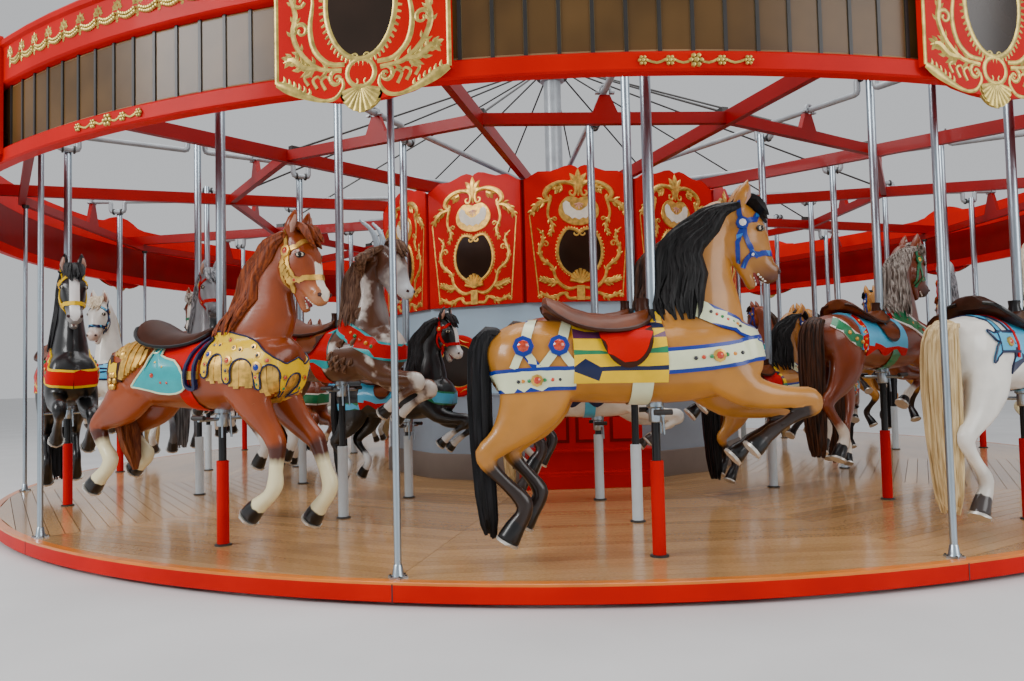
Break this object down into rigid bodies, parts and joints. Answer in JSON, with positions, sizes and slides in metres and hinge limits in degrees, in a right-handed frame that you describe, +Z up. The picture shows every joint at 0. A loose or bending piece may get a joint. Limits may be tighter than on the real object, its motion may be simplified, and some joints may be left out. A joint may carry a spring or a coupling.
{
  "type": "fairground carousel",
  "caption": "Round fairground carousel: carved jumping horses in rows on crank-driven poles, planked deck, gilt red cornice with shields, panelled centre drum and mast.",
  "frame": {"origin": "on the floor at the turning axis", "axes": "+Z up along the turning axis; -Y towards a sweep and shield; the animals face counterclockwise seen from above"},
  "size_m": [10.9566, 10.9566, 4.6],
  "materials": {
    "dark_steel": "satin dark paint",
    "grey_paint": "grey paint, semi-gloss",
    "red_frame": "bright red gloss paint",
    "chrome_steel": "polished tube",
    "red_cornice": "carved boards, red gloss with gilt ornament and mirror strips",
    "drum_paint": "painted boards, red panels with gilt ornament above",
    "deck_wood": "varnished planks with a red rim",
    "tan_coat": "carved wood, gloss enamel",
    "white_coat": "carved wood, gloss enamel",
    "black_coat": "carved wood, gloss enamel",
    "brown_coat": "carved wood, gloss enamel",
    "bay_coat": "carved wood, gloss enamel",
    "grey_coat": "carved wood, gloss enamel",
    "goat_coat": "carved wood, gloss enamel"
  },
  "bodies": {
    "centre": {"centre_base": "dark_steel", "centre_pole": "grey_paint"},
    "turntable": {"sweep_frame": "red_frame", "mast_head": "dark_steel", "hanger_ring": "chrome_steel", "cornice": "red_cornice", "centre_drum": "drum_paint", "cabinet": "red_frame", "deck_section_1": "deck_wood", "deck_section_2": "deck_wood", "deck_section_3": "deck_wood", "deck_section_4": "deck_wood"},
    "crankshaft_01": {"crankshaft_01": "grey_paint"},
    "outer_horse_01": {"outer_horse_01": "tan_coat"},
    "middle_horse_01": {"middle_horse_01": "bay_coat"},
    "inner_horse_01": {"inner_horse_01": "white_coat"},
    "crankshaft_02": {"crankshaft_02": "grey_paint"},
    "outer_horse_02": {"outer_horse_02": "white_coat"},
    "middle_horse_02": {"middle_horse_02": "brown_coat"},
    "inner_horse_02": {"inner_horse_02": "tan_coat"},
    "crankshaft_03": {"crankshaft_03": "grey_paint"},
    "outer_horse_03": {"outer_horse_03": "black_coat"},
    "middle_horse_03": {"middle_horse_03": "grey_coat"},
    "inner_horse_03": {"inner_horse_03": "brown_coat"},
    "crankshaft_04": {"crankshaft_04": "grey_paint"},
    "outer_horse_04": {"outer_horse_04": "brown_coat"},
    "middle_horse_04": {"middle_horse_04": "tan_coat"},
    "inner_horse_04": {"inner_horse_04": "black_coat"},
    "crankshaft_05": {"crankshaft_05": "grey_paint"},
    "outer_horse_05": {"outer_horse_05": "tan_coat"},
    "middle_horse_05": {"middle_horse_05": "bay_coat"},
    "inner_horse_05": {"inner_horse_05": "white_coat"},
    "crankshaft_06": {"crankshaft_06": "grey_paint"},
    "outer_horse_06": {"outer_horse_06": "white_coat"},
    "middle_horse_06": {"middle_horse_06": "brown_coat"},
    "inner_horse_06": {"inner_horse_06": "tan_coat"},
    "crankshaft_07": {"crankshaft_07": "grey_paint"},
    "outer_horse_07": {"outer_horse_07": "black_coat"},
    "middle_horse_07": {"middle_horse_07": "grey_coat"},
    "inner_horse_07": {"inner_horse_07": "brown_coat"},
    "crankshaft_08": {"crankshaft_08": "grey_paint"},
    "outer_horse_08": {"outer_horse_08": "brown_coat"},
    "middle_horse_08": {"middle_horse_08": "tan_coat"},
    "inner_horse_08": {"inner_horse_08": "black_coat"},
    "crankshaft_09": {"crankshaft_09": "grey_paint"},
    "outer_horse_09": {"outer_horse_09": "tan_coat"},
    "middle_horse_09": {"middle_horse_09": "bay_coat"},
    "inner_horse_09": {"inner_horse_09": "white_coat"},
    "crankshaft_10": {"crankshaft_10": "grey_paint"},
    "outer_horse_10": {"outer_horse_10": "white_coat"},
    "middle_horse_10": {"middle_horse_10": "brown_coat"},
    "inner_horse_10": {"inner_horse_10": "tan_coat"},
    "crankshaft_11": {"crankshaft_11": "grey_paint"},
    "outer_horse_11": {"outer_horse_11": "black_coat"},
    "middle_horse_11": {"middle_horse_11": "grey_coat"},
    "inner_horse_11": {"inner_horse_11": "brown_coat"},
    "crankshaft_12": {"crankshaft_12": "grey_paint"},
    "outer_horse_12": {"outer_horse_12": "brown_coat"},
    "middle_goat_12": {"middle_goat_12": "goat_coat"},
    "inner_horse_12": {"inner_horse_12": "black_coat"}
  },
  "joints": [
    {"name": "carousel_spin", "type": "hinge", "parent": "centre", "child": "turntable", "pos_m": [0, 0, 2.8], "axis": [0, 0, 1], "continuous": true},
    {"name": "crankshaft_01_turn", "type": "hinge", "parent": "turntable", "child": "crankshaft_01", "pos_m": [0.73763, -2.75289, 2.99], "axis": [0.2588, -0.9659, 0], "range_deg": [0, 180]},
    {"name": "outer_horse_01_slide", "type": "slide", "parent": "turntable", "child": "outer_horse_01", "axis": [0, 0, 1], "range_m": [0, 0.22]},
    {"name": "middle_horse_01_slide", "type": "slide", "parent": "turntable", "child": "middle_horse_01", "axis": [0, 0, 1], "range_m": [-0.22, 0]},
    {"name": "inner_horse_01_slide", "type": "slide", "parent": "turntable", "child": "inner_horse_01", "axis": [0, 0, 1], "range_m": [0, 0.22]},
    {"name": "crankshaft_02_turn", "type": "hinge", "parent": "turntable", "child": "crankshaft_02", "pos_m": [2.01525, -2.01525, 2.99], "axis": [0.7071, -0.7071, 0], "range_deg": [0, 180]},
    {"name": "outer_horse_02_slide", "type": "slide", "parent": "turntable", "child": "outer_horse_02", "axis": [0, 0, 1], "range_m": [0, 0.22]},
    {"name": "middle_horse_02_slide", "type": "slide", "parent": "turntable", "child": "middle_horse_02", "axis": [0, 0, 1], "range_m": [-0.22, 0]},
    {"name": "inner_horse_02_slide", "type": "slide", "parent": "turntable", "child": "inner_horse_02", "axis": [0, 0, 1], "range_m": [0, 0.22]},
    {"name": "crankshaft_03_turn", "type": "hinge", "parent": "turntable", "child": "crankshaft_03", "pos_m": [2.75289, -0.73763, 2.99], "axis": [0.9659, -0.2588, 0], "range_deg": [0, 180]},
    {"name": "outer_horse_03_slide", "type": "slide", "parent": "turntable", "child": "outer_horse_03", "axis": [0, 0, 1], "range_m": [0, 0.22]},
    {"name": "middle_horse_03_slide", "type": "slide", "parent": "turntable", "child": "middle_horse_03", "axis": [0, 0, 1], "range_m": [-0.22, 0]},
    {"name": "inner_horse_03_slide", "type": "slide", "parent": "turntable", "child": "inner_horse_03", "axis": [0, 0, 1], "range_m": [0, 0.22]},
    {"name": "crankshaft_04_turn", "type": "hinge", "parent": "turntable", "child": "crankshaft_04", "pos_m": [2.75289, 0.73763, 2.99], "axis": [0.9659, 0.2588, 0], "range_deg": [0, 180]},
    {"name": "outer_horse_04_slide", "type": "slide", "parent": "turntable", "child": "outer_horse_04", "axis": [0, 0, 1], "range_m": [0, 0.22]},
    {"name": "middle_horse_04_slide", "type": "slide", "parent": "turntable", "child": "middle_horse_04", "axis": [0, 0, 1], "range_m": [-0.22, 0]},
    {"name": "inner_horse_04_slide", "type": "slide", "parent": "turntable", "child": "inner_horse_04", "axis": [0, 0, 1], "range_m": [0, 0.22]},
    {"name": "crankshaft_05_turn", "type": "hinge", "parent": "turntable", "child": "crankshaft_05", "pos_m": [2.01525, 2.01525, 2.99], "axis": [0.7071, 0.7071, 0], "range_deg": [0, 180]},
    {"name": "outer_horse_05_slide", "type": "slide", "parent": "turntable", "child": "outer_horse_05", "axis": [0, 0, 1], "range_m": [0, 0.22]},
    {"name": "middle_horse_05_slide", "type": "slide", "parent": "turntable", "child": "middle_horse_05", "axis": [0, 0, 1], "range_m": [-0.22, 0]},
    {"name": "inner_horse_05_slide", "type": "slide", "parent": "turntable", "child": "inner_horse_05", "axis": [0, 0, 1], "range_m": [0, 0.22]},
    {"name": "crankshaft_06_turn", "type": "hinge", "parent": "turntable", "child": "crankshaft_06", "pos_m": [0.73763, 2.75289, 2.99], "axis": [0.2588, 0.9659, 0], "range_deg": [0, 180]},
    {"name": "outer_horse_06_slide", "type": "slide", "parent": "turntable", "child": "outer_horse_06", "axis": [0, 0, 1], "range_m": [0, 0.22]},
    {"name": "middle_horse_06_slide", "type": "slide", "parent": "turntable", "child": "middle_horse_06", "axis": [0, 0, 1], "range_m": [-0.22, 0]},
    {"name": "inner_horse_06_slide", "type": "slide", "parent": "turntable", "child": "inner_horse_06", "axis": [0, 0, 1], "range_m": [0, 0.22]},
    {"name": "crankshaft_07_turn", "type": "hinge", "parent": "turntable", "child": "crankshaft_07", "pos_m": [-0.73763, 2.75289, 2.99], "axis": [-0.2588, 0.9659, 0], "range_deg": [0, 180]},
    {"name": "outer_horse_07_slide", "type": "slide", "parent": "turntable", "child": "outer_horse_07", "axis": [0, 0, 1], "range_m": [0, 0.22]},
    {"name": "middle_horse_07_slide", "type": "slide", "parent": "turntable", "child": "middle_horse_07", "axis": [0, 0, 1], "range_m": [-0.22, 0]},
    {"name": "inner_horse_07_slide", "type": "slide", "parent": "turntable", "child": "inner_horse_07", "axis": [0, 0, 1], "range_m": [0, 0.22]},
    {"name": "crankshaft_08_turn", "type": "hinge", "parent": "turntable", "child": "crankshaft_08", "pos_m": [-2.01525, 2.01525, 2.99], "axis": [-0.7071, 0.7071, 0], "range_deg": [0, 180]},
    {"name": "outer_horse_08_slide", "type": "slide", "parent": "turntable", "child": "outer_horse_08", "axis": [0, 0, 1], "range_m": [0, 0.22]},
    {"name": "middle_horse_08_slide", "type": "slide", "parent": "turntable", "child": "middle_horse_08", "axis": [0, 0, 1], "range_m": [-0.22, 0]},
    {"name": "inner_horse_08_slide", "type": "slide", "parent": "turntable", "child": "inner_horse_08", "axis": [0, 0, 1], "range_m": [0, 0.22]},
    {"name": "crankshaft_09_turn", "type": "hinge", "parent": "turntable", "child": "crankshaft_09", "pos_m": [-2.75289, 0.73763, 2.99], "axis": [-0.9659, 0.2588, 0], "range_deg": [0, 180]},
    {"name": "outer_horse_09_slide", "type": "slide", "parent": "turntable", "child": "outer_horse_09", "axis": [0, 0, 1], "range_m": [0, 0.22]},
    {"name": "middle_horse_09_slide", "type": "slide", "parent": "turntable", "child": "middle_horse_09", "axis": [0, 0, 1], "range_m": [-0.22, 0]},
    {"name": "inner_horse_09_slide", "type": "slide", "parent": "turntable", "child": "inner_horse_09", "axis": [0, 0, 1], "range_m": [0, 0.22]},
    {"name": "crankshaft_10_turn", "type": "hinge", "parent": "turntable", "child": "crankshaft_10", "pos_m": [-2.75289, -0.73763, 2.99], "axis": [-0.9659, -0.2588, 0], "range_deg": [0, 180]},
    {"name": "outer_horse_10_slide", "type": "slide", "parent": "turntable", "child": "outer_horse_10", "axis": [0, 0, 1], "range_m": [0, 0.22]},
    {"name": "middle_horse_10_slide", "type": "slide", "parent": "turntable", "child": "middle_horse_10", "axis": [0, 0, 1], "range_m": [-0.22, 0]},
    {"name": "inner_horse_10_slide", "type": "slide", "parent": "turntable", "child": "inner_horse_10", "axis": [0, 0, 1], "range_m": [0, 0.22]},
    {"name": "crankshaft_11_turn", "type": "hinge", "parent": "turntable", "child": "crankshaft_11", "pos_m": [-2.01525, -2.01525, 2.99], "axis": [-0.7071, -0.7071, 0], "range_deg": [0, 180]},
    {"name": "outer_horse_11_slide", "type": "slide", "parent": "turntable", "child": "outer_horse_11", "axis": [0, 0, 1], "range_m": [0, 0.22]},
    {"name": "middle_horse_11_slide", "type": "slide", "parent": "turntable", "child": "middle_horse_11", "axis": [0, 0, 1], "range_m": [-0.22, 0]},
    {"name": "inner_horse_11_slide", "type": "slide", "parent": "turntable", "child": "inner_horse_11", "axis": [0, 0, 1], "range_m": [0, 0.22]},
    {"name": "crankshaft_12_turn", "type": "hinge", "parent": "turntable", "child": "crankshaft_12", "pos_m": [-0.73763, -2.75289, 2.99], "axis": [-0.2588, -0.9659, 0], "range_deg": [0, 180]},
    {"name": "outer_horse_12_slide", "type": "slide", "parent": "turntable", "child": "outer_horse_12", "axis": [0, 0, 1], "range_m": [0, 0.22]},
    {"name": "middle_goat_12_slide", "type": "slide", "parent": "turntable", "child": "middle_goat_12", "axis": [0, 0, 1], "range_m": [-0.22, 0]},
    {"name": "inner_horse_12_slide", "type": "slide", "parent": "turntable", "child": "inner_horse_12", "axis": [0, 0, 1], "range_m": [0, 0.22]}
  ],
  "couplings": [
    {"joint": "crankshaft_01_turn", "follows": "outer_horse_01_slide", "rad_per_m": 14.28},
    {"joint": "middle_horse_01_slide", "follows": "outer_horse_01_slide", "ratio": -1},
    {"joint": "inner_horse_01_slide", "follows": "outer_horse_01_slide", "ratio": 1},
    {"joint": "crankshaft_02_turn", "follows": "outer_horse_01_slide", "rad_per_m": 14.28},
    {"joint": "outer_horse_02_slide", "follows": "outer_horse_01_slide", "ratio": 1},
    {"joint": "middle_horse_02_slide", "follows": "outer_horse_01_slide", "ratio": -1},
    {"joint": "inner_horse_02_slide", "follows": "outer_horse_01_slide", "ratio": 1},
    {"joint": "crankshaft_03_turn", "follows": "outer_horse_01_slide", "rad_per_m": 14.28},
    {"joint": "outer_horse_03_slide", "follows": "outer_horse_01_slide", "ratio": 1},
    {"joint": "middle_horse_03_slide", "follows": "outer_horse_01_slide", "ratio": -1},
    {"joint": "inner_horse_03_slide", "follows": "outer_horse_01_slide", "ratio": 1},
    {"joint": "crankshaft_04_turn", "follows": "outer_horse_01_slide", "rad_per_m": 14.28},
    {"joint": "outer_horse_04_slide", "follows": "outer_horse_01_slide", "ratio": 1},
    {"joint": "middle_horse_04_slide", "follows": "outer_horse_01_slide", "ratio": -1},
    {"joint": "inner_horse_04_slide", "follows": "outer_horse_01_slide", "ratio": 1},
    {"joint": "crankshaft_05_turn", "follows": "outer_horse_01_slide", "rad_per_m": 14.28},
    {"joint": "outer_horse_05_slide", "follows": "outer_horse_01_slide", "ratio": 1},
    {"joint": "middle_horse_05_slide", "follows": "outer_horse_01_slide", "ratio": -1},
    {"joint": "inner_horse_05_slide", "follows": "outer_horse_01_slide", "ratio": 1},
    {"joint": "crankshaft_06_turn", "follows": "outer_horse_01_slide", "rad_per_m": 14.28},
    {"joint": "outer_horse_06_slide", "follows": "outer_horse_01_slide", "ratio": 1},
    {"joint": "middle_horse_06_slide", "follows": "outer_horse_01_slide", "ratio": -1},
    {"joint": "inner_horse_06_slide", "follows": "outer_horse_01_slide", "ratio": 1},
    {"joint": "crankshaft_07_turn", "follows": "outer_horse_01_slide", "rad_per_m": 14.28},
    {"joint": "outer_horse_07_slide", "follows": "outer_horse_01_slide", "ratio": 1},
    {"joint": "middle_horse_07_slide", "follows": "outer_horse_01_slide", "ratio": -1},
    {"joint": "inner_horse_07_slide", "follows": "outer_horse_01_slide", "ratio": 1},
    {"joint": "crankshaft_08_turn", "follows": "outer_horse_01_slide", "rad_per_m": 14.28},
    {"joint": "outer_horse_08_slide", "follows": "outer_horse_01_slide", "ratio": 1},
    {"joint": "middle_horse_08_slide", "follows": "outer_horse_01_slide", "ratio": -1},
    {"joint": "inner_horse_08_slide", "follows": "outer_horse_01_slide", "ratio": 1},
    {"joint": "crankshaft_09_turn", "follows": "outer_horse_01_slide", "rad_per_m": 14.28},
    {"joint": "outer_horse_09_slide", "follows": "outer_horse_01_slide", "ratio": 1},
    {"joint": "middle_horse_09_slide", "follows": "outer_horse_01_slide", "ratio": -1},
    {"joint": "inner_horse_09_slide", "follows": "outer_horse_01_slide", "ratio": 1},
    {"joint": "crankshaft_10_turn", "follows": "outer_horse_01_slide", "rad_per_m": 14.28},
    {"joint": "outer_horse_10_slide", "follows": "outer_horse_01_slide", "ratio": 1},
    {"joint": "middle_horse_10_slide", "follows": "outer_horse_01_slide", "ratio": -1},
    {"joint": "inner_horse_10_slide", "follows": "outer_horse_01_slide", "ratio": 1},
    {"joint": "crankshaft_11_turn", "follows": "outer_horse_01_slide", "rad_per_m": 14.28},
    {"joint": "outer_horse_11_slide", "follows": "outer_horse_01_slide", "ratio": 1},
    {"joint": "middle_horse_11_slide", "follows": "outer_horse_01_slide", "ratio": -1},
    {"joint": "inner_horse_11_slide", "follows": "outer_horse_01_slide", "ratio": 1},
    {"joint": "crankshaft_12_turn", "follows": "outer_horse_01_slide", "rad_per_m": 14.28},
    {"joint": "outer_horse_12_slide", "follows": "outer_horse_01_slide", "ratio": 1},
    {"joint": "middle_goat_12_slide", "follows": "outer_horse_01_slide", "ratio": -1},
    {"joint": "inner_horse_12_slide", "follows": "outer_horse_01_slide", "ratio": 1}
  ]
}
